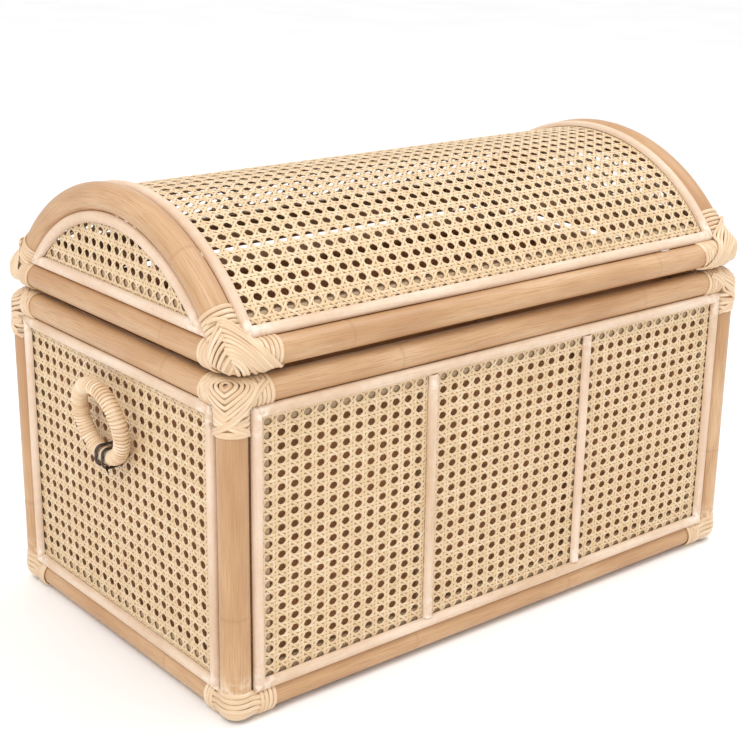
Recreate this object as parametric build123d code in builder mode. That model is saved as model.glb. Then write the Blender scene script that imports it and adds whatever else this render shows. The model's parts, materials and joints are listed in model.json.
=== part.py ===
from build123d import *
import os
from math import acos, cos, degrees, radians, sin, sqrt

os.makedirs("parts", exist_ok=True)

# A rattan storage trunk with a barrel-vault lid. Round poles make the frame, woven cane
# fills the walls under half-round mouldings, split peel binds the corners, two butt hinges
# carry the lid and a ring handle swings on each end.
# Origin on the floor under the middle of the trunk, +Z up, +X to the right, front at -Y.

# Poles
post_diameter = 26.0
rail_diameter = 24.0
post_x = 300.0
post_y = 172.0
wrap_thickness = 2.6
panel_height = 254.0
panel_to_rail = 10.0
panel_to_post = 12.5

# Layers of a wall, measured outwards from the plane of the pole axes
batten_thickness = 5.0
cane_thickness = 2.4
moulding_height = 4.8
moulding_width = 10.5
divider_width = 9.5
batten_width = 19.0
joint_gap = 0.1
moulding_round = 4.2

# Lid
lid_gap = 0.3
arch_x = 296.0
arch_half_span = 168.0
arch_rise = 96.0
vault_moulding_x = 285.0

# Peel bindings, lengths from the corner along each pole
rail_wrap_reach = 34.0
end_wrap_reach = 30.0
post_wrap_reach = 30.0
foot_wrap_height = 21.0
lid_wrap_reach = 44.0
arch_wrap_rise = 34.0
lid_corner_radius = 16.5
lid_wrap_flat = 0.15

# Ring handles
ring_radius = 34.0
ring_tube_radius = 7.5
ring_pivot_z = 188.0
ring_lean = 10.0
ring_clearance = 0.6
lashing_width = 3.2
lashing_thickness = 1.2
lashing_offset = 6.0
lashing_slack = 1.4
slit_height = 5.6

# Base board and lining
board_thickness = 5.0
lining_thickness = 1.0
lining_corner = 16.0
lining_gap = 0.1

# Hinges
hinge_x = 180.0
leaf_width = 30.0
leaf_reach = 21.5
leaf_thickness = 1.5
seat_depth = 1.5
knuckle_radius = 3.0
knuckle_gap = 0.3
pin_radius = 1.2
pin_clearance = 0.05
pin_length = 31.0
screw_spread = 10.0
screw_radius = 1.5
screw_head_radius = 2.8
screw_length = 14.0

# Derived sizes
post_radius = post_diameter / 2
rail_radius = rail_diameter / 2
bottom_rail_z = wrap_thickness + rail_radius
panel_bottom_z = bottom_rail_z + panel_to_rail
panel_mid_z = panel_bottom_z + panel_height / 2
top_rail_z = panel_bottom_z + panel_height + panel_to_rail
lid_rail_z = top_rail_z + rail_diameter + 2 * wrap_thickness + lid_gap
lid_split_z = top_rail_z + rail_radius + wrap_thickness
lid_seat_z = lid_rail_z + rail_radius
front_width = 2 * (post_x - panel_to_post)
end_width = 2 * (post_y - panel_to_post)
cane_out = batten_thickness
moulding_out = batten_thickness + cane_thickness

arch_radius = (arch_half_span**2 + arch_rise**2) / (2 * arch_rise)
arch_centre_z = lid_rail_z + arch_rise - arch_radius
vault_edge_z = lid_seat_z + 0.2
vault_inner_radius = arch_radius + cane_out
vault_outer_radius = arch_radius + moulding_out
lunette_radius = arch_radius - rail_radius + 1.0
lunette_inner_radius = lunette_radius - moulding_width

hinge_z = (top_rail_z + lid_rail_z) / 2
leaf_seat_y = post_y + rail_radius - seat_depth
hinge_y = leaf_seat_y + knuckle_radius
barrel_length = leaf_width / 4 + 0.5
middle_barrel = leaf_width - 2 * barrel_length - 2 * knuckle_gap

ring_pivot_x = post_x + moulding_out + ring_clearance + ring_tube_radius

corners = (
    ("front_left", -1, -1),
    ("front_right", 1, -1),
    ("back_left", -1, 1),
    ("back_right", 1, 1),
)
ends = (("left", -1), ("right", 1))
sides = (("front", -1), ("back", 1))

# Each wall's plane holds the axes of its poles, faces outwards and has its middle as origin.
wall_planes = {
    "front": Plane(origin=(0, -post_y, panel_mid_z), x_dir=(1, 0, 0), z_dir=(0, -1, 0)),
    "back": Plane(origin=(0, post_y, panel_mid_z), x_dir=(-1, 0, 0), z_dir=(0, 1, 0)),
    "left": Plane(origin=(-post_x, 0, panel_mid_z), x_dir=(0, -1, 0), z_dir=(-1, 0, 0)),
    "right": Plane(origin=(post_x, 0, panel_mid_z), x_dir=(0, 1, 0), z_dir=(1, 0, 0)),
}
wall_widths = {"front": front_width, "back": front_width, "left": end_width, "right": end_width}

# Two dividers split the front and the back into three bays of equal width.
bay_pitch = front_width / 3
divider_xs = {"front": (-bay_pitch / 2, bay_pitch / 2), "back": (-bay_pitch / 2, bay_pitch / 2)}


# Posts

posts = {}
for corner, side, depth in corners:
    with BuildPart() as post:
        with Locations((side * post_x, depth * post_y, wrap_thickness)):
            Cylinder(
                post_radius,
                top_rail_z + rail_radius - wrap_thickness,
                align=(Align.CENTER, Align.CENTER, Align.MIN),
            )
        fillet(post.edges().filter_by(GeomType.CIRCLE), 3)
    post.part.label = f"post_{corner}"
    export_step(post.part, f"parts/post_{corner}.step")
    posts[corner] = post.part


# Rails of the body, coped round the posts. The end rails are also coped to the long ones.


def screw_solids(z, mode):
    # The countersunk head and the shank of each hinge screw at one height, pointing at the front.
    places = [(x + turn * screw_spread, leaf_seat_y, z) for x in (-hinge_x, hinge_x) for turn in (-1, 1)]
    with Locations(*places):
        Cylinder(
            screw_radius,
            screw_length,
            rotation=(90, 0, 0),
            align=(Align.CENTER, Align.CENTER, Align.MIN),
            mode=mode,
        )
        Cone(
            screw_head_radius,
            screw_radius,
            leaf_thickness,
            rotation=(90, 0, 0),
            align=(Align.CENTER, Align.CENTER, Align.MAX),
            mode=mode,
        )


def cut_hinge_seats(z):
    # Planed flats on the back of a rail for the leaves, and the screw holes.
    with Locations((-hinge_x, leaf_seat_y, z), (hinge_x, leaf_seat_y, z)):
        Box(
            leaf_width + 1,
            rail_diameter,
            rail_diameter,
            align=(Align.CENTER, Align.MIN, Align.CENTER),
            mode=Mode.SUBTRACT,
        )
    screw_solids(z, Mode.SUBTRACT)


body_rails = {}
for level, rail_z in (("bottom", bottom_rail_z), ("top", top_rail_z)):
    for wall, depth in sides:
        with BuildPart() as rail:
            with Locations((0, depth * post_y, rail_z)):
                Cylinder(rail_radius, 2 * post_x, rotation=(0, 90, 0))
            with Locations((-post_x, depth * post_y, rail_z), (post_x, depth * post_y, rail_z)):
                Cylinder(post_radius, 2 * rail_diameter, mode=Mode.SUBTRACT)
            if (level, wall) == ("top", "back"):
                cut_hinge_seats(rail_z)
        rail.part.label = f"{level}_rail_{wall}"
        export_step(rail.part, f"parts/{level}_rail_{wall}.step")
        body_rails[level, wall] = rail.part
    for wall, side in ends:
        with BuildPart() as rail:
            with Locations((side * post_x, 0, rail_z)):
                Cylinder(rail_radius, 2 * post_y, rotation=(90, 0, 0))
            with Locations((side * post_x, -post_y, rail_z), (side * post_x, post_y, rail_z)):
                Cylinder(post_radius, 2 * rail_diameter, mode=Mode.SUBTRACT)
            with Locations((0, -post_y, rail_z), (0, post_y, rail_z)):
                Cylinder(rail_radius, 2 * post_x, rotation=(0, 90, 0), mode=Mode.SUBTRACT)
        rail.part.label = f"{level}_rail_{wall}"
        export_step(rail.part, f"parts/{level}_rail_{wall}.step")
        body_rails[level, wall] = rail.part


# Mouldings: half-round strips, mitred at the corners of each panel.


def mitred_bar(face, outer, inner, reach, turn=0):
    # One strip whose outer edge lies at the given reach from the face's origin.
    with BuildSketch(face) as strip:
        Polygon(
            (-outer / 2 + joint_gap, -reach),
            (outer / 2 - joint_gap, -reach),
            (inner / 2 - joint_gap, -reach + moulding_width),
            (-inner / 2 + joint_gap, -reach + moulding_width),
            rotation=turn,
            align=None,
        )
    extrude(strip.sketch, amount=moulding_height)


def round_long_edges(builder, face):
    # The edges of the outer faces that run along the strips.
    out = Axis((0, 0, 0), face.z_dir)
    crowns = builder.faces().group_by(out)[-1]
    along = crowns.edges().filter_by(Axis((0, 0, 0), face.x_dir))
    across = crowns.edges().filter_by(Axis((0, 0, 0), face.y_dir))
    fillet(along + across, moulding_round)


for wall, plane in wall_planes.items():
    face = plane.offset(moulding_out)
    width = wall_widths[wall]
    inner_width = width - 2 * moulding_width
    inner_height = panel_height - 2 * moulding_width
    with BuildPart() as moulding:
        for turn in (0, 180):
            mitred_bar(face, width, inner_width, panel_height / 2, turn)
        for turn in (90, 270):
            mitred_bar(face, panel_height, inner_height, width / 2, turn)
        round_long_edges(moulding, face)
    if wall in divider_xs:
        with BuildPart() as dividers:
            with BuildSketch(face):
                with Locations(*[(x, 0) for x in divider_xs[wall]]):
                    Rectangle(divider_width, inner_height - 2 * joint_gap)
            extrude(amount=moulding_height)
            crowns = dividers.faces().group_by(Axis((0, 0, 0), face.z_dir))[-1]
            fillet(crowns.edges().filter_by(Axis.Z), moulding_round)
        with BuildPart() as moulding_and_dividers:
            add(moulding.part)
            add(dividers.part)
        moulding = moulding_and_dividers
    moulding.part.label = f"moulding_{wall}"
    export_step(moulding.part, f"parts/moulding_{wall}.step")


# Cane sheets of the walls. The end sheets have slits where the handle lashings pass through.

lashing_half_height = ring_tube_radius + 1.5 + lashing_thickness
for wall, plane in wall_planes.items():
    with BuildPart(plane.offset(cane_out)) as cane:
        Box(
            wall_widths[wall] - 0.4,
            panel_height - 3.0,
            cane_thickness,
            align=(Align.CENTER, Align.CENTER, Align.MIN),
        )
        if wall in ("left", "right"):
            slit_y = ring_pivot_z - panel_mid_z
            slit_rise = lashing_half_height - slit_height / 2 - 0.3
            slits = [(x, slit_y + up * slit_rise) for x in (-lashing_offset, lashing_offset) for up in (-1, 1)]
            with Locations(*slits):
                Box(lashing_width + 0.4, slit_height, 4 * cane_thickness, mode=Mode.SUBTRACT)
    cane.part.label = f"cane_{wall}"
    export_step(cane.part, f"parts/cane_{wall}.step")


# Battens behind the edges of the cane, and behind the dividers.


def wall_battens(wall):
    width = wall_widths[wall] - 1.0
    height = panel_height - 4.0
    upright = height - 2 * batten_width - 2 * joint_gap
    side_x = (width - batten_width) / 2
    uprights = [-side_x, side_x] + list(divider_xs.get(wall, ()))
    with BuildSketch(wall_planes[wall]) as strips:
        with Locations((0, (height - batten_width) / 2), (0, -(height - batten_width) / 2)):
            Rectangle(width, batten_width)
        with Locations(*[(x, 0) for x in uprights]):
            Rectangle(batten_width, upright)
    extrude(strips.sketch, amount=batten_thickness)


for group, walls in (("long", ("front", "back")), ("end", ("left", "right"))):
    with BuildPart() as battens:
        for wall in walls:
            wall_battens(wall)
    battens.part.label = f"battens_{group}_walls"
    export_step(battens.part, f"parts/battens_{group}_walls.step")


# Base board, resting on the foot bindings, notched round the posts.

board_z = bottom_rail_z + rail_radius + wrap_thickness
with BuildPart() as base_board:
    with Locations((0, 0, board_z)):
        Box(
            2 * post_x - 0.2,
            2 * post_y - 0.2,
            board_thickness,
            align=(Align.CENTER, Align.CENTER, Align.MIN),
        )
    with Locations(*[(side * post_x, depth * post_y, board_z) for _, side, depth in corners]):
        Cylinder(post_radius + wrap_thickness + 0.4, 4 * board_thickness, mode=Mode.SUBTRACT)
base_board.part.label = "base_board"
export_step(base_board.part, "parts/base_board.step")


# Lining: four thin boards on the inner faces of the battens, standing on the base board between
# the bindings of the posts.

lining_bottom_z = board_z + board_thickness + lining_gap
lining_height = top_rail_z - rail_radius - wrap_thickness - lining_gap - lining_bottom_z
with BuildPart() as lining:
    for wall, plane in wall_planes.items():
        post_distance = post_y if wall in ("left", "right") else post_x
        board = plane.offset(-lining_gap)
        board.origin = (board.origin.X, board.origin.Y, lining_bottom_z + lining_height / 2)
        with Locations(board):
            Box(
                2 * (post_distance - lining_corner),
                lining_height,
                lining_thickness,
                align=(Align.CENTER, Align.CENTER, Align.MAX),
            )
lining.part.label = "lining"
export_step(lining.part, "parts/lining.step")


# Peel bindings of the body: a sleeve on the post and one on each rail, cut back where the
# wall panels sit.


def cut_panels():
    for wall, plane in wall_planes.items():
        with Locations(plane.offset(-0.2)):
            Box(
                wall_widths[wall] + 0.2,
                panel_height + 0.2,
                3 * moulding_height + moulding_out,
                align=(Align.CENTER, Align.CENTER, Align.MIN),
                mode=Mode.SUBTRACT,
            )


def body_binding(corner, side, depth, level, rail_z, low, high):
    x = side * post_x
    y = depth * post_y
    end = "left" if side < 0 else "right"
    face = "front" if depth < 0 else "back"
    with BuildPart() as binding:
        with Locations((x, y, low)):
            Cylinder(
                post_radius + wrap_thickness,
                high - low,
                align=(Align.CENTER, Align.CENTER, Align.MIN),
            )
        rims = binding.edges().filter_by(GeomType.CIRCLE).sort_by(Axis.Z)
        fillet(rims[-1] if level == "top" else rims[0], 4)
        with Locations((x - side * rail_wrap_reach / 2, y, rail_z)):
            Cylinder(rail_radius + wrap_thickness, rail_wrap_reach, rotation=(0, 90, 0))
        with Locations((x, y - depth * end_wrap_reach / 2, rail_z)):
            Cylinder(rail_radius + wrap_thickness, end_wrap_reach, rotation=(90, 0, 0))
        add(posts[corner], mode=Mode.SUBTRACT)
        add(body_rails[level, face], mode=Mode.SUBTRACT)
        add(body_rails[level, end], mode=Mode.SUBTRACT)
        cut_panels()
    return binding


for corner, side, depth in corners:
    binding = body_binding(
        corner,
        side,
        depth,
        "top",
        top_rail_z,
        top_rail_z - post_wrap_reach,
        lid_split_z,
    )
    binding.part.label = f"binding_top_{corner}"
    export_step(binding.part, f"parts/binding_top_{corner}.step")

    foot = body_binding(
        corner,
        side,
        depth,
        "bottom",
        bottom_rail_z,
        0,
        bottom_rail_z + foot_wrap_height,
    )
    foot.part.label = f"binding_foot_{corner}"
    export_step(foot.part, f"parts/binding_foot_{corner}.step")


# Rails of the lid. The front and back ones run through, the end ones are coped to them.

lid_rails = {}
for wall, depth in sides:
    with BuildPart() as lid_rail:
        with Locations((0, depth * post_y, lid_rail_z)):
            Cylinder(rail_radius, 2 * (post_x + rail_radius - 2), rotation=(0, 90, 0))
        fillet(lid_rail.edges().filter_by(GeomType.CIRCLE), 4)
        if wall == "back":
            cut_hinge_seats(lid_rail_z)
    lid_rail.part.label = f"lid_rail_{wall}"
    export_step(lid_rail.part, f"parts/lid_rail_{wall}.step")
    lid_rails[wall] = lid_rail.part

for wall, side in ends:
    with BuildPart() as lid_rail:
        with Locations((side * post_x, 0, lid_rail_z)):
            Cylinder(rail_radius, 2 * post_y, rotation=(90, 0, 0))
        with Locations((0, -post_y, lid_rail_z), (0, post_y, lid_rail_z)):
            Cylinder(rail_radius, 3 * post_x, rotation=(0, 90, 0), mode=Mode.SUBTRACT)
    lid_rail.part.label = f"lid_rail_{wall}"
    export_step(lid_rail.part, f"parts/lid_rail_{wall}.step")
    lid_rails[wall] = lid_rail.part


# Arches: bent poles whose feet stand on the rails.

arches = {}
for wall, side in ends:
    with BuildPart() as arch:
        with Locations((side * arch_x, 0, arch_centre_z)):
            Torus(arch_radius, post_radius, rotation=(0, 90, 0))
        split(bisect_by=Plane.XY.offset(lid_seat_z), keep=Keep.TOP)
    arch.part.label = f"lid_arch_{wall}"
    export_step(arch.part, f"parts/lid_arch_{wall}.step")
    arches[wall] = arch.part


# Cane of the lid: the vault between the arches and a lunette at each end.


def cut_below(z):
    split(bisect_by=Plane.XY.offset(z), keep=Keep.TOP)


vault_cane_width = 2 * (arch_x - post_radius + 0.9)
with BuildPart() as vault_cane:
    with Locations((0, 0, arch_centre_z)):
        Cylinder(vault_outer_radius, vault_cane_width, rotation=(0, 90, 0))
        Cylinder(vault_inner_radius, 3 * post_x, rotation=(0, 90, 0), mode=Mode.SUBTRACT)
    cut_below(vault_edge_z)
vault_cane.part.label = "cane_vault"
export_step(vault_cane.part, "parts/cane_vault.step")

for wall, side in ends:
    with BuildPart() as lunette:
        with Locations((side * (arch_x + cane_out + cane_thickness / 2), 0, arch_centre_z)):
            Cylinder(lunette_radius - 1.2, cane_thickness, rotation=(0, 90, 0))
        cut_below(vault_edge_z)
    lunette.part.label = f"cane_lunette_{wall}"
    export_step(lunette.part, f"parts/cane_lunette_{wall}.step")


# Mouldings round the vault. The straight ones lie on planes tangent to the cane.

edge_angle = degrees(acos((vault_edge_z - arch_centre_z) / vault_outer_radius))
moulding_angle = degrees(moulding_width / vault_outer_radius)


def radial(angle, depth):
    # Unit vector from the vault's axis, the angle taken from the top.
    return Vector(0, depth * sin(radians(angle)), cos(radians(angle)))


def uphill(angle, depth):
    # Unit vector along the vault's surface towards the top.
    return Vector(0, -depth * cos(radians(angle)), sin(radians(angle)))


vault_pieces = []
for wall, depth in sides:
    middle_angle = edge_angle - moulding_angle / 2
    out = radial(middle_angle, depth)
    face = Plane(
        origin=Vector(0, 0, arch_centre_z) + out * vault_outer_radius,
        x_dir=(-depth, 0, 0),
        z_dir=out,
    )
    with BuildPart() as bar:
        outer = 2 * vault_moulding_x
        mitred_bar(face, outer, outer - 2 * moulding_width, moulding_width / 2)
        round_long_edges(bar, face)
    vault_pieces.append(bar.part)

for wall, side in ends:
    with BuildPart() as hoop:
        with Locations((side * (vault_moulding_x - moulding_width / 2), 0, arch_centre_z)):
            Cylinder(vault_outer_radius + moulding_height, moulding_width, rotation=(0, 90, 0))
        rims = hoop.edges().filter_by(GeomType.CIRCLE)
        fillet(rims, moulding_round)
        with Locations((0, 0, arch_centre_z)):
            Cylinder(vault_outer_radius, 3 * post_x, rotation=(0, 90, 0), mode=Mode.SUBTRACT)
        for _, depth in sides:
            corner_point = Vector(side * (vault_moulding_x + joint_gap), 0, arch_centre_z)
            corner_point += radial(edge_angle, depth) * vault_outer_radius
            mitre = Vector(side, 0, 0) + uphill(edge_angle, depth)
            split(bisect_by=Plane(origin=corner_point, z_dir=mitre), keep=Keep.TOP)
    vault_pieces.append(hoop.part)

with BuildPart() as vault_moulding:
    for piece in vault_pieces:
        add(piece)
vault_moulding.part.label = "moulding_vault"
export_step(vault_moulding.part, "parts/moulding_vault.step")


# Mouldings round each lunette: a straight one with long pointed ends and an arched one.

lunette_rise = vault_edge_z - arch_centre_z
lunette_outer = 2 * sqrt(lunette_radius**2 - lunette_rise**2)
lunette_inner = 2 * sqrt(lunette_inner_radius**2 - (lunette_rise + moulding_width) ** 2)
for wall, side in ends:
    face = Plane(
        origin=(side * (arch_x + moulding_out), 0, vault_edge_z),
        x_dir=(0, side, 0),
        z_dir=(side, 0, 0),
    )
    with BuildPart() as sill:
        mitred_bar(face, lunette_outer, lunette_inner, 0)
        round_long_edges(sill, face)
    with BuildPart() as bow:
        with Locations((side * (arch_x + moulding_out + moulding_height / 2), 0, arch_centre_z)):
            Cylinder(lunette_radius, moulding_height, rotation=(0, 90, 0))
            Cylinder(lunette_inner_radius, 2 * moulding_height, rotation=(0, 90, 0), mode=Mode.SUBTRACT)
        crown = bow.edges().filter_by(GeomType.CIRCLE).group_by(Axis.X)
        fillet(crown[0] if side < 0 else crown[-1], moulding_round)
        cut_below(vault_edge_z)
        with BuildSketch(face.offset(-moulding_height)) as mitre:
            Polygon(
                (-lunette_outer / 2, 0),
                (lunette_outer / 2, 0),
                (lunette_inner / 2, moulding_width),
                (-lunette_inner / 2, moulding_width),
                align=None,
            )
        extrude(mitre.sketch, amount=3 * moulding_height, mode=Mode.SUBTRACT)
    with BuildPart() as lunette_moulding:
        add(sill.part)
        add(bow.part)
    lunette_moulding.part.label = f"moulding_lunette_{wall}"
    export_step(lunette_moulding.part, f"parts/moulding_lunette_{wall}.step")


# Battens of the lid: curved ones under the vault's long edges, straight ones behind the lunettes.

batten_top_z = vault_edge_z + batten_width * sin(radians(edge_angle))
lid_batten_length = 2 * (arch_x - post_radius - 0.5)
with BuildPart() as lid_battens:
    with Locations((0, 0, arch_centre_z)):
        Cylinder(vault_inner_radius, lid_batten_length, rotation=(0, 90, 0))
        Cylinder(
            vault_inner_radius - batten_thickness,
            3 * post_x,
            rotation=(0, 90, 0),
            mode=Mode.SUBTRACT,
        )
    cut_below(vault_edge_z)
    split(bisect_by=Plane.XY.offset(batten_top_z), keep=Keep.BOTTOM)
    batten_x = arch_x + cane_out - batten_thickness / 2
    with Locations(*[(side * batten_x, 0, vault_edge_z) for side in (-1, 1)]):
        Box(
            batten_thickness,
            0.85 * lunette_outer,
            batten_width,
            align=(Align.CENTER, Align.CENTER, Align.MIN),
        )
lid_battens.part.label = "battens_lid"
export_step(lid_battens.part, "parts/battens_lid.step")


# Peel bindings of the lid: a round corner with a sleeve on each rail and on the arch's foot.
# One corner is made and mirrored to the others.

with BuildPart() as arch_sleeve:
    with Locations((-arch_x, 0, arch_centre_z)):
        Torus(arch_radius, post_radius + wrap_thickness, rotation=(0, 90, 0))
    with Locations((-post_x, -post_y, lid_rail_z + arch_wrap_rise)):
        Box(
            4 * post_radius,
            8 * post_radius,
            arch_wrap_rise,
            align=(Align.CENTER, Align.CENTER, Align.MAX),
            mode=Mode.INTERSECT,
        )

with BuildPart() as lunette_space:
    with Locations((-arch_x + 0.2, 0, arch_centre_z)):
        Cylinder(
            lunette_radius + 0.2,
            6 * moulding_height,
            rotation=(0, -90, 0),
            align=(Align.CENTER, Align.CENTER, Align.MIN),
        )
    cut_below(vault_edge_z - 0.1)

with BuildPart() as lid_corner:
    with Locations((-post_x, -post_y, lid_rail_z)):
        Sphere(lid_corner_radius)
    with Locations((-post_x + lid_wrap_reach / 2, -post_y, lid_rail_z)):
        Cylinder(rail_radius + wrap_thickness, lid_wrap_reach, rotation=(0, 90, 0))
    with Locations((-post_x, -post_y + end_wrap_reach / 2, lid_rail_z)):
        Cylinder(rail_radius + wrap_thickness, end_wrap_reach, rotation=(90, 0, 0))
    add(arch_sleeve.part)
    cut_below(lid_split_z + lid_gap + lid_wrap_flat)
    add(lid_rails["front"], mode=Mode.SUBTRACT)
    add(lid_rails["left"], mode=Mode.SUBTRACT)
    add(arches["left"], mode=Mode.SUBTRACT)
    with Locations((0, 0, vault_edge_z - 0.1)):
        Box(
            2 * vault_moulding_x + 0.4,
            3 * post_y,
            arch_radius,
            align=(Align.CENTER, Align.CENTER, Align.MIN),
            mode=Mode.SUBTRACT,
        )
    add(lunette_space.part, mode=Mode.SUBTRACT)

for corner, side, depth in corners:
    with BuildPart() as binding:
        add(lid_corner.part)
        if side > 0:
            mirror(about=Plane.YZ, mode=Mode.REPLACE)
        if depth > 0:
            mirror(about=Plane.XZ, mode=Mode.REPLACE)
    binding.part.label = f"binding_lid_{corner}"
    export_step(binding.part, f"parts/binding_lid_{corner}.step")


# Ring handles, leaning outwards, and the two lashings that tie each one to its wall.

for wall, side in ends:
    lean = radians(ring_lean)
    pivot = Vector(side * ring_pivot_x, 0, ring_pivot_z)
    centre = pivot + Vector(side * sin(lean), 0, cos(lean)) * ring_radius
    ring_plane = Plane(origin=centre, x_dir=(0, 1, 0), z_dir=(side * cos(lean), 0, -sin(lean)))
    with BuildPart(ring_plane) as ring:
        Torus(ring_radius, ring_tube_radius)
    ring.part.label = f"handle_ring_{wall}"
    export_step(ring.part, f"parts/handle_ring_{wall}.step")

    outer_x = ring_pivot_x + ring_tube_radius + lashing_slack + lashing_thickness
    inner_x = post_x + cane_out - lashing_thickness - 0.2
    loop_width = outer_x - inner_x
    loop_height = 2 * lashing_half_height
    with BuildPart() as lashing:
        for y in (-lashing_offset, lashing_offset):
            loop_plane = Plane(
                origin=(side * (outer_x + inner_x) / 2, y, ring_pivot_z),
                x_dir=(1, 0, 0),
                z_dir=(0, -1, 0),
            )
            with BuildSketch(loop_plane):
                RectangleRounded(loop_width, loop_height, 7)
                RectangleRounded(
                    loop_width - 2 * lashing_thickness,
                    loop_height - 2 * lashing_thickness,
                    7 - lashing_thickness,
                    mode=Mode.SUBTRACT,
                )
            extrude(amount=lashing_width / 2, both=True)
    lashing.part.label = f"handle_lashing_{wall}"
    export_step(lashing.part, f"parts/handle_lashing_{wall}.step")


# Hinges: a leaf on the body and one on the lid at each place, a pin through both, and screws.


def hinge_leaf(x, up, barrels, bore, screw_z):
    # up is 1 for a leaf that stands above the pin, -1 for one that hangs below it.
    with BuildPart() as leaf:
        plate_start = knuckle_radius + knuckle_gap
        plate_y = leaf_seat_y + leaf_thickness / 2
        with Locations((x, plate_y, hinge_z + up * (plate_start + leaf_reach) / 2)):
            Box(leaf_width, leaf_thickness, leaf_reach - plate_start)
        for offset, length in barrels:
            with Locations((x + offset, plate_y, hinge_z + up * plate_start / 2)):
                Box(length, leaf_thickness, plate_start)
            with Locations((x + offset, hinge_y, hinge_z)):
                Cylinder(knuckle_radius, length, rotation=(0, 90, 0))
        with Locations((x, hinge_y, hinge_z)):
            Cylinder(bore, 2 * leaf_width, rotation=(0, 90, 0), mode=Mode.SUBTRACT)
        screw_solids(screw_z, Mode.SUBTRACT)
    return leaf


outer_offset = (leaf_width - barrel_length) / 2
body_barrels = ((-outer_offset, barrel_length), (outer_offset, barrel_length))
lid_barrels = ((0, middle_barrel),)
for wall, side in ends:
    body_leaf = hinge_leaf(side * hinge_x, -1, body_barrels, pin_radius, top_rail_z)
    body_leaf.part.label = f"hinge_body_leaf_{wall}"
    export_step(body_leaf.part, f"parts/hinge_body_leaf_{wall}.step")

    lid_leaf = hinge_leaf(side * hinge_x, 1, lid_barrels, pin_radius + pin_clearance, lid_rail_z)
    lid_leaf.part.label = f"hinge_lid_leaf_{wall}"
    export_step(lid_leaf.part, f"parts/hinge_lid_leaf_{wall}.step")

with BuildPart() as hinge_pins:
    with Locations((-hinge_x, hinge_y, hinge_z), (hinge_x, hinge_y, hinge_z)):
        Cylinder(pin_radius, pin_length, rotation=(0, 90, 0))
hinge_pins.part.label = "hinge_pins"
export_step(hinge_pins.part, "parts/hinge_pins.step")

for owner, screw_z in (("body", top_rail_z), ("lid", lid_rail_z)):
    with BuildPart() as screws:
        screw_solids(screw_z, Mode.ADD)
    screws.part.label = f"hinge_screws_{owner}"
    export_step(screws.part, f"parts/hinge_screws_{owner}.step")
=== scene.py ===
import bpy
import json
import math
import random
import numpy as np
from mathutils import Matrix, Vector


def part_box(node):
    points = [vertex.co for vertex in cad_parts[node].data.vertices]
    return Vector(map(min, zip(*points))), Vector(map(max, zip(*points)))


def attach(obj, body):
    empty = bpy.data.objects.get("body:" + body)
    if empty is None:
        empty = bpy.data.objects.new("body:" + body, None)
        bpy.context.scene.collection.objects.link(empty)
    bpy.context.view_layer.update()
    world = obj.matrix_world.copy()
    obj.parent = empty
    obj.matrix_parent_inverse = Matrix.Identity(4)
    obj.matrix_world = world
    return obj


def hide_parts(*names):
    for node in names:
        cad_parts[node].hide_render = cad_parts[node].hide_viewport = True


# Rattan storage trunk: poles, mouldings, hand-woven cane, peel bindings and wrapped ring handles.
# Lengths below are millimetres; meshes are turned to metres when they are made.

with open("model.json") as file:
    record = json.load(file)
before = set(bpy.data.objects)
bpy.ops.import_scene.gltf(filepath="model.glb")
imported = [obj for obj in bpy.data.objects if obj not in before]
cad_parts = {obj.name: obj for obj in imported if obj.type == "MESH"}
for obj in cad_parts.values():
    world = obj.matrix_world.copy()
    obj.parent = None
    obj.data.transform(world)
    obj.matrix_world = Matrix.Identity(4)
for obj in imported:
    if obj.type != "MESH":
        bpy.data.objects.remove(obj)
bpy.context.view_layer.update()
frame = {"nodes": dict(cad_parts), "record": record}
bodyOfNode = {n: b for b, nodes in frame["record"]["behaviour"]["bodies"].items() for n in nodes}
rng = random.Random(47)
print("frame loaded:", len(frame["nodes"]), "nodes")


def boxMm(node):
    low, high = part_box(node)
    return np.array(low) * 1000, np.array(high) * 1000


def middle(node):
    low, high = boxMm(node)
    return (low + high) / 2


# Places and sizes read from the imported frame
postLow, postHigh = boxMm("post_front_left")
railLow, railHigh = boxMm("top_rail_front")
archLow, archHigh = boxMm("lid_arch_left")
sizes = {
    "postX": -(postLow[0] + postHigh[0]) / 2,
    "postY": -(postLow[1] + postHigh[1]) / 2,
    "postRadius": (postHigh[0] - postLow[0]) / 2,
    "railRadius": (railHigh[2] - railLow[2]) / 2,
    "bottomZ": middle("bottom_rail_front")[2],
    "topZ": middle("top_rail_front")[2],
    "lidZ": middle("lid_rail_front")[2],
    "archX": -(archLow[0] + archHigh[0]) / 2,
    "archApex": archHigh[2],
    "archRadius": 195.0,
    "splitLow": boxMm("binding_top_front_left")[1][2],
    "splitHigh": boxMm("binding_lid_front_left")[0][2],
    "seatY": boxMm("hinge_body_leaf_left")[0][1],
}
postX, postY = sizes["postX"], sizes["postY"]
postRadius, railRadius = sizes["postRadius"], sizes["railRadius"]
archRadius = sizes["archRadius"]
archCentreZ = sizes["archApex"] - postRadius - archRadius
corners = {"front_left": (1, 1), "front_right": (-1, 1), "back_left": (1, -1), "back_right": (-1, -1)}


def unit(v):
    v = np.asarray(v, float)
    return v / np.maximum(np.linalg.norm(v, axis=-1, keepdims=True), 1e-12)


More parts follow.
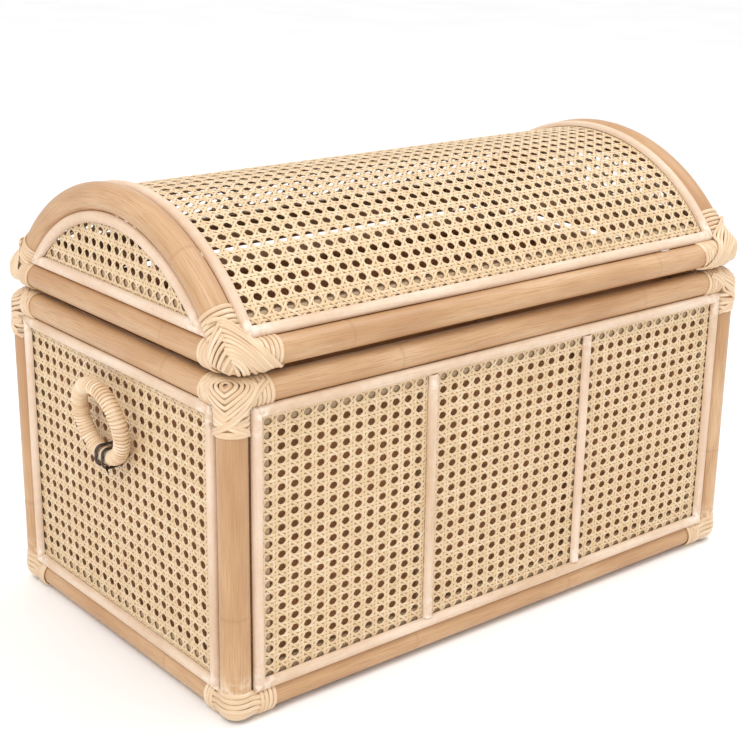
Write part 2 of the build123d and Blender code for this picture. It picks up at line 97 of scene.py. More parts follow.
def lineThrough(points, step, closed=False):
    # A Catmull-Rom line through the points, sampled about every step.
    points = np.asarray(points, float)
    count = len(points)
    spans = count if closed else count - 1
    out = []
    for i in range(spans):
        pick = [(i + k) % count if closed else min(max(i + k, 0), count - 1) for k in (-1, 0, 1, 2)]
        a, b, c, d = (points[j] for j in pick)
        parts = max(1, int(round(np.linalg.norm(c - b) / step)))
        t = np.linspace(0, 1, parts, endpoint=False)[:, None]
        bend, twist = 2 * a - 5 * b + 4 * c - d, 3 * b - a - 3 * c + d
        out.append(0.5 * (2 * b + (c - a) * t + bend * t**2 + twist * t**3))
    if not closed:
        out.append(points[-1:])
    return np.vstack(out)


def roundSection(radius, sides):
    turn = np.linspace(0, 2 * math.pi, sides, endpoint=False)
    return np.column_stack([radius * np.cos(turn), radius * np.sin(turn)])


def peelSection(width, thickness):
    # Flat underneath and domed on top, as a split peel is.
    w, t = width / 2, thickness
    return np.array([(w, 0.22 * t), (0.86 * w, 0.62 * t), (0.5 * w, 0.92 * t), (0, t), (-0.5 * w, 0.92 * t),
                     (-0.86 * w, 0.62 * t), (-w, 0.22 * t), (-0.8 * w, 0), (0.8 * w, 0)])


def caneSection(width, thickness):
    w, t = width / 2, thickness / 2
    return np.array([(w, 0), (0.56 * w, t), (-0.56 * w, t), (-w, 0), (0, -t)])


def mouldingSection(width, height):
    corner = min(width * 0.42, height * 0.9)
    turn = np.linspace(0, math.pi / 2, 5)
    side, top = width / 2 - corner, height - corner
    right = [(side + corner * math.cos(a), top + corner * math.sin(a)) for a in turn]
    left = [(-x, y) for x, y in reversed(right)]
    return np.array([(width / 2, 0)] + right + left + [(-width / 2, 0)])


def sweep(points, up, section, closed=False, scale=None, skew=(0, 0), knots=None, pale=None, taper=None):
    # One strand: the section carried along the points, its top towards up.
    points = np.asarray(points, float)
    up = np.broadcast_to(np.asarray(up, float), points.shape)
    if closed:
        ahead = np.roll(points, -1, 0) - np.roll(points, 1, 0)
    else:
        ahead = np.gradient(points, axis=0)
    ahead = unit(ahead)
    across = unit(np.cross(ahead, up))
    up = np.cross(across, ahead)
    count, sides = len(points), len(section)
    scale = np.ones(count) if scale is None else np.asarray(scale)
    taper = np.ones(count) if taper is None else np.asarray(taper)
    widths = section[None, :, 0] * (scale * taper)[:, None]
    heights = section[None, :, 1] * scale[:, None]
    verts = points[:, None, :] + widths[..., None] * across[:, None, :]
    verts = verts + heights[..., None] * up[:, None, :]
    run = np.concatenate([[0], np.cumsum(np.linalg.norm(np.diff(points, axis=0), axis=1))])
    # a mitre's slant fades along the strand, so that its rings never cross
    fades = [np.clip(1 - far / (2.4 * abs(k) * section[:, 0].max() + 1e-6), 0, 1) * k
             for far, k in ((run, skew[0]), (run[-1] - run, skew[1]))]
    shift = widths * (fades[0] + fades[1])[:, None]
    verts = verts + shift[..., None] * ahead[:, None, :]
    tone = rng.random()
    grain = np.stack([run[:, None] + shift + tone * 9000, widths + tone * 77, heights], axis=-1)
    zero = np.zeros(count)
    knots, pale = (zero if m is None else m for m in (knots, pale))
    marks = np.stack([knots, pale, zero + tone], axis=-1)
    marks = np.broadcast_to(marks[:, None, :], (count, sides, 3))
    rows = np.arange(count if closed else count - 1)[:, None]
    cols = np.arange(sides)[None, :]
    nextRow, nextCol = (rows + 1) % count, (cols + 1) % sides
    quads = np.stack([rows * sides + cols, nextRow * sides + cols, nextRow * sides + nextCol,
                      rows * sides + nextCol], axis=-1).reshape(-1, 4)
    last = range(count * sides - 1, (count - 1) * sides - 1, -1)
    caps = [] if closed else [list(range(sides)), list(last)]
    return verts.reshape(-1, 3), quads, caps, grain.reshape(-1, 3), marks.reshape(-1, 3)


def setVectors(mesh, name, values):
    layer = mesh.attributes.new(name, "FLOAT_VECTOR", "POINT")
    layer.data.foreach_set("vector", values.astype(np.float32).ravel())


def makePiece(node, part, strands, material, sharp=60):
    # One mesh of strands that stands in for a CAD node, riding with that node's body.
    name = f"{node}_{part}"
    offset, verts, faces, grain, marks = 0, [], [], [], []
    for v, quads, caps, g, m in strands:
        faces.extend((quads + offset).tolist())
        faces.extend([[i + offset for i in cap] for cap in caps])
        offset += len(v)
        verts.append(v)
        grain.append(g)
        marks.append(m)
    mesh = bpy.data.meshes.new(name)
    mesh.from_pydata((np.vstack(verts) * 0.001).tolist(), [], faces)
    setVectors(mesh, "grain", np.vstack(grain))
    setVectors(mesh, "marks", np.vstack(marks))
    mesh.shade_smooth()
    mesh.set_sharp_from_angle(angle=math.radians(sharp))
    mesh.materials.append(material)
    piece = bpy.data.objects.new(name, mesh)
    bpy.context.scene.collection.objects.link(piece)
    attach(piece, bodyOfNode[node])
    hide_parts(node)


def mirrored(strand, turnX, turnY):
    verts, quads, caps, grain, marks = strand
    verts = verts * np.array([turnX, turnY, 1])
    if turnX * turnY < 0:
        quads = quads[:, ::-1]
        caps = [cap[::-1] for cap in caps]
    return verts, quads, caps, grain, marks


def toLinear(hexColour):
    channels = [int(hexColour[i:i + 2], 16) / 255 for i in (1, 3, 5)]
    return tuple(c / 12.92 if c <= 0.04045 else ((c + 0.055) / 1.055) ** 2.4 for c in channels) + (1,)


def addNode(tree, kind, links=None, values=None, stops=(), **settings):
    # stops are (place, hex colour or grey) for a node that holds a colour ramp
    node = tree.nodes.new("ShaderNode" + kind)
    while stops and len(node.color_ramp.elements) < len(stops):
        node.color_ramp.elements.new(0.5)
    for i, (place, colour) in enumerate(stops):
        element = node.color_ramp.elements[i]
        element.position = place
        element.color = toLinear(colour) if isinstance(colour, str) else (colour, colour, colour, 1)
    for key, value in settings.items():
        setattr(node, key, value)
    for socket, value in (values or {}).items():
        node.inputs[socket].default_value = value
    for socket, source in (links or {}).items():
        tree.links.new(source, node.inputs[socket])
    return node


ramp = "ValToRGB"


def startMaterial(name, **values):
    material = bpy.data.materials.new(name)
    material.use_nodes = True
    tree = material.node_tree
    shader = tree.nodes["Principled BSDF"]
    for socket, value in values.items():
        shader.inputs[socket.replace("_", " ")].default_value = value
    return material, tree, shader


def rattanMaterial(name, look):
    # Rattan in every form: fibres run along the strand, vessel streaks show between them,
    # and each strand has its own tone. Clear lacquer over scraped skin gives a satin shine.
    material, tree, shader = startMaterial(name, Roughness=look["roughness"], IOR=1.5,
                                           Coat_Weight=look["coat"], Coat_Roughness=0.28)
    grain = addNode(tree, "Attribute", attribute_name="grain").outputs["Vector"]
    marks = addNode(tree, "Attribute", attribute_name="marks").outputs["Vector"]
    split = addNode(tree, "SeparateXYZ", {"Vector": marks})
    # fibre width and length in millimetres become noise scales
    fibre = addNode(tree, "Mapping", {"Vector": grain},
                    {"Scale": (1 / look["fibreLength"], 1 / look["fibreWidth"], 1 / look["fibreWidth"])})
    fine = addNode(tree, "TexNoise", {"Vector": fibre.outputs["Vector"]},
                   {"Scale": 1.0, "Detail": 3.0, "Roughness": 0.65})
    cloud = addNode(tree, "Mapping", {"Vector": grain},
                    {"Scale": (1 / look["cloudLength"], 4 / look["cloudLength"], 4 / look["cloudLength"])})
    broad = addNode(tree, "TexNoise", {"Vector": cloud.outputs["Vector"]},
                    {"Scale": 1.0, "Detail": 2.0, "Roughness": 0.5})
    skin = addNode(tree, ramp, {"Fac": broad.outputs["Fac"]},
                   stops=[(0.32, look["dark"]), (0.5, look["colour"]), (0.68, look["light"])])
    streak = addNode(tree, ramp, {"Fac": fine.outputs["Fac"]}, stops=[(0.36, 1.0), (0.5, 0.25), (0.64, 0.0)])
    patch = addNode(tree, "TexNoise", {"Vector": grain}, {"Scale": 0.16, "Detail": 3.0})
    patchEdge = addNode(tree, ramp, {"Fac": patch.outputs["Fac"]}, stops=[(0.42, 0.0), (0.62, 1.0)])
    streaked = addNode(tree, "Math", {0: streak.outputs["Color"]}, {1: look["streakShare"]},
                       operation="MULTIPLY")
    toned = addNode(tree, "Math", {0: split.outputs["Z"]}, {1: look["toneShare"]},
                    operation="MULTIPLY")
    paled = addNode(tree, "Math", {0: patchEdge.outputs["Color"], 1: split.outputs["Y"]},
                    operation="MULTIPLY")
    # each colour covers its share of the ones before it
    body = skin.outputs["Color"]
    for part, share in (("streak", streaked.outputs[0]), ("tone", toned.outputs[0]),
                        ("knot", split.outputs["X"]), ("pale", paled.outputs[0])):
        body = addNode(tree, "Mix", {"Factor": share, 6: body}, {7: toLinear(look[part])},
                       data_type="RGBA").outputs[2]
    tree.links.new(body, shader.inputs["Base Color"])
    bump = addNode(tree, "Bump", {"Height": fine.outputs["Fac"]},
                   {"Strength": look["bump"], "Distance": 0.0004})
    tree.links.new(bump.outputs["Normal"], shader.inputs["Normal"])
    return material


# fibre and cloud sizes are millimetres along and across the strand; shares run from 0 to 1
poleLook = {"roughness": 0.46, "coat": 0.2, "fibreLength": 30.0, "fibreWidth": 0.75, "cloudLength": 130.0,
            "dark": "#B78A5E", "colour": "#C69C70", "light": "#D4AF86", "pale": "#E6D2B8",
            "streak": "#9C7048", "streakShare": 0.6, "tone": "#BB9066", "toneShare": 0.3,
            "knot": "#9A6E46", "bump": 0.4}
mouldingLook = {"roughness": 0.55, "coat": 0.05, "fibreLength": 36.0, "fibreWidth": 0.7,
                "cloudLength": 90.0,
                "dark": "#D2B393", "colour": "#DFC5AB", "light": "#E8D3BD", "pale": "#F0E4D6",
                "streak": "#BE9C7A", "streakShare": 0.45, "tone": "#DDBFA6", "toneShare": 0.5,
                "knot": "#B8946E", "bump": 0.25}
caneLook = {"roughness": 0.45, "coat": 0.12, "fibreLength": 22.0, "fibreWidth": 0.5, "cloudLength": 60.0,
            "dark": "#D6B78C", "colour": "#E2C8A2", "light": "#EBD6B6", "pale": "#EEDFC8",
            "streak": "#B9946A", "streakShare": 0.3, "tone": "#D6B68C", "toneShare": 0.45,
            "knot": "#A98258", "bump": 0.2}
peelLook = {"roughness": 0.42, "coat": 0.25, "fibreLength": 26.0, "fibreWidth": 0.45, "cloudLength": 40.0,
            "dark": "#D6B591", "colour": "#E5CAA8", "light": "#EFDABC", "pale": "#F0E0C8",
            "streak": "#BC9468", "streakShare": 0.4, "tone": "#D8B894", "toneShare": 0.55,
            "knot": "#AE8558", "bump": 0.3}
wrapLook = dict(peelLook, dark="#D8B58C", colour="#EDD3B2", light="#F5E5CE", tone="#E2C29A", roughness=0.45)

poleMaterial = rattanMaterial("rattan pole, scraped and lacquered", poleLook)
mouldingMaterial = rattanMaterial("rattan core, split and sanded", mouldingLook)
caneMaterial = rattanMaterial("cane, machine woven", caneLook)
peelMaterial = rattanMaterial("rattan peel, split and wrapped", peelLook)
wrapMaterial = rattanMaterial("rattan peel, wound on the ring", wrapLook)


def plainWoodMaterial(name, light, dark, grainMm, alongMm):
    # Sawn timber: soft bands along the board, no gloss.
    material, tree, shader = startMaterial(name, Roughness=0.62)
    place = addNode(tree, "NewGeometry").outputs["Position"]
    # positions are metres, so 1000 over the grain's size in millimetres
    stretched = addNode(tree, "Mapping", {"Vector": place},
                        {"Scale": (1000 / alongMm, 1000 / grainMm, 1000 / grainMm)})
    noise = addNode(tree, "TexNoise", {"Vector": stretched.outputs["Vector"]},
                    {"Scale": 1.0, "Detail": 4.0, "Roughness": 0.6})
    colour = addNode(tree, ramp, {"Fac": noise.outputs["Fac"]},
                     stops=[(0.3, dark), (0.7, light)]).outputs["Color"]
    tree.links.new(colour, shader.inputs["Base Color"])
    bump = addNode(tree, "Bump", {"Height": noise.outputs["Fac"]},
                   {"Strength": 0.3, "Distance": 0.0005})
    tree.links.new(bump.outputs["Normal"], shader.inputs["Normal"])
    return material


def metalMaterial(name, colour, dull, roughness, scratchMm):
    # Polished sheet metal with a fine dulled skin from handling.
    material, tree, shader = startMaterial(name, Metallic=1.0)
    place = addNode(tree, "NewGeometry").outputs["Position"]
    noise = addNode(tree, "TexNoise", {"Vector": place},
                    {"Scale": 1000 / scratchMm, "Detail": 4.0}).outputs["Fac"]
    skin = addNode(tree, ramp, {"Fac": noise}, stops=[(0.35, colour), (0.75, dull)]).outputs["Color"]
    tree.links.new(skin, shader.inputs["Base Color"])
    rough = addNode(tree, ramp, {"Fac": noise},
                    stops=[(0.3, roughness), (0.8, roughness + 0.2)]).outputs["Color"]
    tree.links.new(rough, shader.inputs["Roughness"])
    return material


def leatherMaterial(name):
    # Waxed leather lace: near black, fine pebble, worn brown where it rubs.
    material, tree, shader = startMaterial(name, Roughness=0.48)
    grain = addNode(tree, "Attribute", attribute_name="grain").outputs["Vector"]
    pebble = addNode(tree, "TexVoronoi", {"Vector": grain}, {"Scale": 1.6})  # 0.6 mm pebbles
    worn = addNode(tree, "TexNoise", {"Vector": grain}, {"Scale": 0.35, "Detail": 3.0})
    colour = addNode(tree, ramp, {"Fac": worn.outputs["Fac"]},
                     stops=[(0.45, "#1E1A18"), (0.72, "#5A4030")]).outputs["Color"]
    tree.links.new(colour, shader.inputs["Base Color"])
    bump = addNode(tree, "Bump", {"Height": pebble.outputs["Distance"]},
                   {"Strength": 0.4, "Distance": 0.0002})
    tree.links.new(bump.outputs["Normal"], shader.inputs["Normal"])
    return material


def liningMaterial(name):
    # Brown cotton twill glued on card: matt, a fine cross weave, a little uneven.
    material, tree, shader = startMaterial(name, Roughness=0.9, Sheen_Weight=0.15)
    place = addNode(tree, "NewGeometry").outputs["Position"]
    # 0.9 mm threads, drawn a little coarse so that they show
    threads = addNode(tree, "TexVoronoi", {"Vector": place}, {"Scale": 1000 / 0.9})
    broad = addNode(tree, "TexNoise", {"Vector": place}, {"Scale": 1000 / 60, "Detail": 3.0})
    colour = addNode(tree, ramp, {"Fac": broad.outputs["Fac"]},
                     stops=[(0.3, "#AE7B50"), (0.7, "#C69163")]).outputs["Color"]
    tree.links.new(colour, shader.inputs["Base Color"])
    bump = addNode(tree, "Bump", {"Height": threads.outputs["Distance"]},
                   {"Strength": 0.35, "Distance": 0.0003})
    tree.links.new(bump.outputs["Normal"], shader.inputs["Normal"])
    return material


clothMaterial = liningMaterial("cotton twill, dyed brown")
battenMaterial = plainWoodMaterial("softwood batten, sawn", "#B39877", "#9C8060", 1.2, 40.0)
boardMaterial = plainWoodMaterial("plywood, rotary cut", "#DCC29A", "#C4A478", 3.0, 90.0)
brassMaterial = metalMaterial("brass sheet, rolled", "#C9A35C", "#A8854A", 0.26, 1.5)
screwMaterial = metalMaterial("brass screw, turned", "#CFAB66", "#9E7C44", 0.3, 0.8)
steelMaterial = metalMaterial("steel pin, drawn", "#B9BBBD", "#8F9295", 0.32, 0.8)
laceMaterial = leatherMaterial("leather lace, waxed")
print("materials made:", len(bpy.data.materials))


poles = {"nodeEvery": (190, 380), "ridge": 0.016, "ridgeWidth": 1.7, "sides": 36, "step": 9.0}


def poleRun(length):
    # Distances along a pole with extra rings at its growth nodes, the swelling and the node mark.
    nodes, at = [], rng.uniform(30, poles["nodeEvery"][0])
    while at < length - 12:
        nodes.append(at)
        at += rng.uniform(*poles["nodeEvery"])
    run = set(np.linspace(0, length, max(3, int(length / poles["step"]))).tolist())
    for node in nodes:
        run.update(node + d for d in (-5, -3.2, -2, -1, 0, 1, 2, 3.2, 5))
    run = np.array(sorted(r for r in run if 0 <= r <= length))
    swell, mark = np.zeros(len(run)), np.zeros(len(run))
    for node in nodes:
        near = (run - node) / poles["ridgeWidth"]
        swell += poles["ridge"] * np.exp(-near**2) - 0.4 * poles["ridge"] * np.exp(-((near - 1.6) ** 2))
        mark += 0.3 * np.exp(-((near - 0.9) ** 2) * 1.6)
    wave = 0.006 * np.sin(run / rng.uniform(50, 80) + rng.uniform(0, 6))
    return run, 1 + swell + wave, np.clip(mark, 0, 1)


def straightPole(start, end, radius, ease=None):
    start, end = np.array(start, float), np.array(end, float)
    length = np.linalg.norm(end - start)
    run, scale, mark = poleRun(length)
    pale = np.zeros(len(run))
    if ease:
        run, scale, mark, pale = ease(run, scale, mark)
    points = start + (end - start) * (run / length)[:, None]
    up = (0, 0, 1) if abs(end[2] - start[2]) < 1 else (0, 1, 0)
    return sweep(points, up, roundSection(radius, poles["sides"]), scale=scale, knots=mark, pale=pale)


def postFootEase(run, scale, mark):
    # The post's lower end is rounded over and scraped pale where the foot binding meets it.
    extra = np.array([14.0, 16.0, 17.5, 19.0, 20.5, 23.0, 28.0, 38.0])
    joined = np.unique(np.concatenate([run, extra]))
    scale, mark = np.interp(joined, run, scale), np.interp(joined, run, mark)
    rise = np.clip((joined - 12) / 9, 0, 1)
    scale = scale * (0.9 + 0.1 * np.sqrt(1 - (1 - rise) ** 2))
    pale = np.clip((34 - joined) / 16, 0, 1)
    return joined, scale, mark, pale


for name, (turnX, turnY) in corners.items():
    x, y = -postX * turnX, -postY * turnY
    foot, top = (x, y, sizes["bottomZ"] - 4), (x, y, sizes["topZ"] - 5)
    node = f"post_{name}"
    makePiece(node, "pole", [straightPole(foot, top, postRadius, postFootEase)], poleMaterial)


hinges = {"x": abs(middle("hinge_body_leaf_left")[0]), "seatHalf": 15.6}


def hingeFlats(strand):
    # Planed seats for the leaves on the back of the two back rails.
    verts = strand[0]
    near = np.abs(np.abs(verts[:, 0]) - hinges["x"]) < hinges["seatHalf"]
    verts[near, 1] = np.minimum(verts[near, 1], sizes["seatY"])
    return strand


# each rail stops inside its corner bindings, hidden millimetres short of the joint
for level, z, hidden in (("bottom_rail", sizes["bottomZ"], 6), ("top_rail", sizes["topZ"], 12),
                         ("lid_rail", sizes["lidZ"], 12)):
    alongX, alongY = postX - hidden, postY - hidden
    runs = {"front": ((-alongX, -postY, z), (alongX, -postY, z)),
            "back": ((-alongX, postY, z), (alongX, postY, z)),
            "left": ((-postX, -alongY, z), (-postX, alongY, z)),
            "right": ((postX, -alongY, z), (postX, alongY, z))}
    for wall, (start, end) in runs.items():
        pole = straightPole(start, end, railRadius)
        if wall == "back" and level != "bottom_rail":
            pole = hingeFlats(pole)
        makePiece(f"{level}_{wall}", "pole", [pole], poleMaterial)


def archPoint(angle, x, radius=archRadius):
    # angle from the top, in radians, towards the front when negative
    angle = np.asarray(angle, float)
    y, z = radius * np.sin(angle), archCentreZ + radius * np.cos(angle)
    return np.stack([np.full_like(angle, x), y, z], axis=-1)


def awayFromAxis(line, x):
    # Square to the vault's surface along a line in the plane at x.
    return unit(line - np.array([x, 0, archCentreZ]))


footAngle = math.acos((sizes["lidZ"] + 6 - archCentreZ) / archRadius)
for wall, x in (("left", -sizes["archX"]), ("right", sizes["archX"])):
    run, scale, mark = poleRun(2 * footAngle * archRadius)
    line = archPoint(-footAngle + run / archRadius, x)
    bent = sweep(line, awayFromAxis(line, x), roundSection(postRadius, poles["sides"]), scale=scale,
                 knots=mark)
    makePiece(f"lid_arch_{wall}", "pole", [bent], poleMaterial)
print("poles made")


mouldings = {"width": 10.5, "divider": 9.5, "height": 4.8, "gap": 0.1, "step": 12.0, "paleNear": 26.0}
stripWidth, inset = mouldings["width"] - mouldings["gap"], mouldings["width"] / 2
panelLow, panelHigh = boxMm("moulding_front")
sideHigh = boxMm("moulding_left")[1]
halfFront, halfEnd = panelHigh[0], sideHigh[1]
panelBottom, panelTop = panelLow[2], panelHigh[2]
panelMid = (panelBottom + panelTop) / 2
halfHigh = (panelTop - panelBottom) / 2
dividerX = halfFront / 3
dividers = {"front": (-dividerX, dividerX), "back": (-dividerX, dividerX), "left": (), "right": ()}
walls = {
    "front": ((0, panelHigh[1], 0), (1, 0, 0), (0, -1, 0), halfFront),
    "back": ((0, -panelHigh[1], 0), (-1, 0, 0), (0, 1, 0), halfFront),
    "left": ((sideHigh[0], 0, 0), (0, -1, 0), (-1, 0, 0), halfEnd),
    "right": ((-sideHigh[0], 0, 0), (0, 1, 0), (1, 0, 0), halfEnd),
}


def paleEnds(near):
    # Sanded ends: palest where near, the distance to the strip's end, is nought.
    return np.clip(1 - near / mouldings["paleNear"], 0.12, 1) * 0.9


def strip(start, end, out, skew, width=stripWidth):
    # A straight half-round strip, waved a hair as a split core is, its ends cut by skew.
    start, end, out = (np.array(v, float) for v in (start, end, out))
    length = np.linalg.norm(end - start)
    run = np.linspace(0, length, max(4, int(length / mouldings["step"])))
    side = unit(np.cross(end - start, out))
    ease = np.sin(math.pi * run / length)
    wave = 0.22 * np.sin(run / rng.uniform(45, 70) + rng.uniform(0, 6)) * ease
    points = start + (end - start) * (run / length)[:, None] + side * wave[:, None]
    scale = 1 + 0.02 * np.sin(run / rng.uniform(30, 60) + rng.uniform(0, 6)) * ease
    section = mouldingSection(width, mouldings["height"])
    pale = paleEnds(np.minimum(run, length - run))
    return sweep(points, out, section, scale=scale, skew=skew, pale=pale)


for wall, (origin, right, out, half) in walls.items():
    origin, right, out = (np.array(v, float) for v in (origin, right, out))
    up = np.array([0, 0, 1.0])
    mid = origin + up * panelMid
    h, v = half - inset, halfHigh - inset
    strips = []
    for sideways in (1, -1):
        low = mid - up * v * sideways
        # across runs away from the panel's middle on every strip, so the mitres take one skew
        strips.append(strip(low - right * h * sideways, low + right * h * sideways, out, (-1, 1)))
        edge = mid + right * h * sideways
        strips.append(strip(edge - up * v * sideways, edge + up * v * sideways, out, (-1, 1)))
    for x in dividers[wall]:
        foot = mid + right * x
        reach = halfHigh - mouldings["width"] - mouldings["gap"]
        strips.append(strip(foot - up * reach, foot + up * reach, out, (0, 0), mouldings["divider"]))
    makePiece(f"moulding_{wall}", "strips", strips, mouldingMaterial, sharp=40)

vaultLow, vaultHigh = boxMm("cane_vault")
vaultOuter = vaultHigh[2] - archCentreZ
vaultEdgeZ = vaultLow[2]
edgeAngle = math.acos((vaultEdgeZ - archCentreZ) / vaultOuter)
vaultHalf = boxMm("moulding_vault")[1][0]
bow = {"inner": 173.5, "outer": 184.0, "faceX": boxMm("cane_lunette_left")[0][0]}


def bentStrip(radius, x, span, skew, out=None):
    # A half-round strip bent round the vault's axis, its top facing out or else away from the axis.
    run = np.linspace(-span, span, 90)
    line = archPoint(run, x, radius)
    up = awayFromAxis(line, x) if out is None else out
    section = mouldingSection(stripWidth, mouldings["height"])
    return sweep(line, up, section, skew=skew, pale=paleEnds((span - np.abs(run)) * radius))


vaultStrips = []
for depth in (-1, 1):
    angle = depth * (edgeAngle - inset / vaultOuter)
    line = archPoint(np.array([angle]), 0, vaultOuter)[0]
    out = np.array([0, math.sin(angle), math.cos(angle)])
    inward = [line + np.array([depth * (vaultHalf - inset) * s, 0, 0]) for s in (1, -1)]
    vaultStrips.append(strip(inward[0], inward[1], out, (-1, 1)))
for side in (-1, 1):
    vaultStrips.append(bentStrip(vaultOuter, side * (vaultHalf - inset),
                                 edgeAngle - inset / vaultOuter, (-side, side)))
makePiece("moulding_vault", "strips", vaultStrips, mouldingMaterial, sharp=40)

for wall, side in (("left", -1), ("right", 1)):
    faceX = side * abs(bow["faceX"])
    out = (side, 0, 0)
    mean = (bow["inner"] + bow["outer"]) / 2
    rise = vaultEdgeZ - archCentreZ
    sillZ = vaultEdgeZ + inset
    halfOuter = math.sqrt(bow["outer"] ** 2 - rise**2)
    halfInner = math.sqrt(bow["inner"] ** 2 - (rise + mouldings["width"]) ** 2)
    slope = (halfOuter - halfInner) / mouldings["width"]
    halfMid = (halfOuter + halfInner) / 2
    sillEnds = [np.array([faceX, s * halfMid, sillZ]) for s in (side, -side)]
    sill = strip(sillEnds[1], sillEnds[0], out, (-slope, slope))
    span = math.acos((rise + inset) / mean)
    arched = bentStrip(mean, faceX, span, (slope * side, -slope * side), out)
    makePiece(f"moulding_lunette_{wall}", "strips", [sill, arched], mouldingMaterial, sharp=40)
print("mouldings made")


cane = {"strand": 2.85, "diagonal": 2.45, "thickness": 0.62, "pairHalf": 1.6, "weave": 0.2,
        "diagonalLift": 0.4, "flat": 2.6}


def clipRun(low, high, inside, at):
    # Shrinks a run until both ends lie inside an outline.
    run = np.linspace(low, high, 160)
    keep = run[inside(*at(run))]
    return (keep.min(), keep.max()) if len(keep) > 2 else None


def weave(place, low, high, pitch, origin, inside=None):
    # The six-way pattern. Pairs run up and across, single diagonals cross between the holes,
    # over one set of pairs and under the other. Hole centres are at origin plus whole pitches.
    pu, pv = pitch
    strands = []

    def lay(u, v, w, width):
        points, up = place(u, v, w)
        strands.append(sweep(points, up, caneSection(width, cane["thickness"])))

    def pairs(sideways):
        p, q = (pv, pu) if sideways else (pu, pv)
        o, r = (origin[1], origin[0]) if sideways else (origin[0], origin[1])
        a0, a1 = (low[1], high[1]) if sideways else (low[0], high[0])
        b0, b1 = (low[0], high[0]) if sideways else (low[1], high[1])
        for i in range(int(math.floor((a0 - o) / p)) - 1, int(math.ceil((a1 - o) / p)) + 1):
            for half in (0, 1):
                c = o + (i + 0.5) * p + (2 * half - 1) * cane["pairHalf"] + rng.uniform(-0.1, 0.1)
                if not a0 < c < a1:
                    continue
                b = (b0, b1)
                if inside:
                    b = clipRun(b0, b1, inside,
                                lambda t: (t, np.full_like(t, c)) if sideways else (np.full_like(t, c), t))
                    if b is None:
                        continue
                j = np.arange(math.floor((b[0] - r) / q) - 1, math.ceil((b[1] - r) / q) + 1)
                flip = np.where((2 * i + half + 2 * j) % 2 == 0, 1.0, -1.0) * (-1 if sideways else 1)
                t = np.stack([r + j * q, r + (j + 0.5) * q - cane["pairHalf"],
                              r + (j + 0.5) * q + cane["pairHalf"]], axis=1).ravel()
                w = np.stack([0 * flip, cane["weave"] * flip, -cane["weave"] * flip], axis=1).ravel()
                keep = (t > b[0]) & (t < b[1])
                t = np.concatenate([[b[0]], t[keep], [b[1]]])
                w = np.concatenate([[0], w[keep], [0]])
                c = np.full_like(t, c)
                lay(t if sideways else c, c if sideways else t, w, cane["strand"])

    def diagonals(rising):
        # Midpoints between neighbouring holes, alternately on an upright and a level pair.
        iLow, iHigh = int((low[0] - origin[0]) / pu) - 2, int((high[0] - origin[0]) / pu) + 2
        jLow, jHigh = int((low[1] - origin[1]) / pv) - 2, int((high[1] - origin[1]) / pv) + 2
        slide = cane["flat"] / math.hypot(pu, pv)
        for n in range(iLow - jHigh - 2, iHigh - jLow + 2):
            k = np.arange(2 * (iLow - 1), 2 * (iHigh + 1))
            s = np.stack([k / 2 - slide, k / 2 + slide], axis=1).ravel()
            upright = np.repeat(np.where(k % 2 == 1, 1.0, -1.0), 2) * (1 if rising else -1)
            t = s - (n + 0.5)
            u = origin[0] + s * pu
            v = origin[1] + (t if rising else -t + jLow + jHigh) * pv
            w = upright * cane["diagonalLift"]
            within = (u > low[0]) & (u < high[0]) & (v > low[1]) & (v < high[1])
            if inside:
                within &= inside(u, v)
            if within.sum() < 3:
                continue
            lay(u[within], v[within], w[within], cane["diagonal"])

    pairs(False)
    pairs(True)
    diagonals(True)
    diagonals(False)
    return strands


def flatPlace(origin, right, up, out):
    origin, right, up, out = (np.array(a, float) for a in (origin, right, up, out))

    def place(u, v, w):
        return origin + u[:, None] * right + v[:, None] * up + w[:, None] * out, out

    return place


meshes = {
    "long": {"pitch": (13.4, 11.95), "first": (-269.9, 262.4)},
    "end": {"pitch": (12.9, 12.6), "first": (6.45, 181.7)},
    "vault": {"pitch": (13.4, 12.7), "first": (-269.9, 0.0)},
    "lunette": {"pitch": (12.9, 12.6), "first": (6.45, 4.2)},
}
for wall, (origin, right, out, half) in walls.items():
    node = f"cane_{wall}"
    low, high = boxMm(node)
    kind = "long" if wall in ("front", "back") else "end"
    reach = half - 3.0
    centre = (low + high) / 2
    depth = centre * np.abs(np.array(out))
    place = flatPlace(depth, right, (0, 0, 1), out)
    strands = weave(place, (-reach, low[2] + 2), (reach, high[2] - 2), meshes[kind]["pitch"],
                    meshes[kind]["first"])
    makePiece(node, "weave", strands, caneMaterial, sharp=180)
    print(node, "strands", len(strands))

vaultInner = 200.0
vaultMid = vaultOuter - (vaultOuter - vaultInner) / 2


def vaultPlace(u, v, w):
    angle = v / vaultMid
    out = np.stack([np.zeros_like(v), np.sin(angle), np.cos(angle)], axis=-1)
    line = out * (vaultMid + w)[:, None] + np.array([0, 0, archCentreZ])
    line[:, 0] = u
    return line, out


vaultReach = (edgeAngle - 0.01) * vaultMid
vaultRuns = {"front": (-vaultReach, 0.0), "back": (0.0, vaultReach)}
for part, (low, high) in vaultRuns.items():
    strands = weave(vaultPlace, (-vaultHigh[0] + 1, low), (vaultHigh[0] - 1, high),
                    meshes["vault"]["pitch"], meshes["vault"]["first"])
    makePiece("cane_vault", f"weave_{part}", strands, caneMaterial, sharp=180)
    print("cane_vault", part, "strands", len(strands))

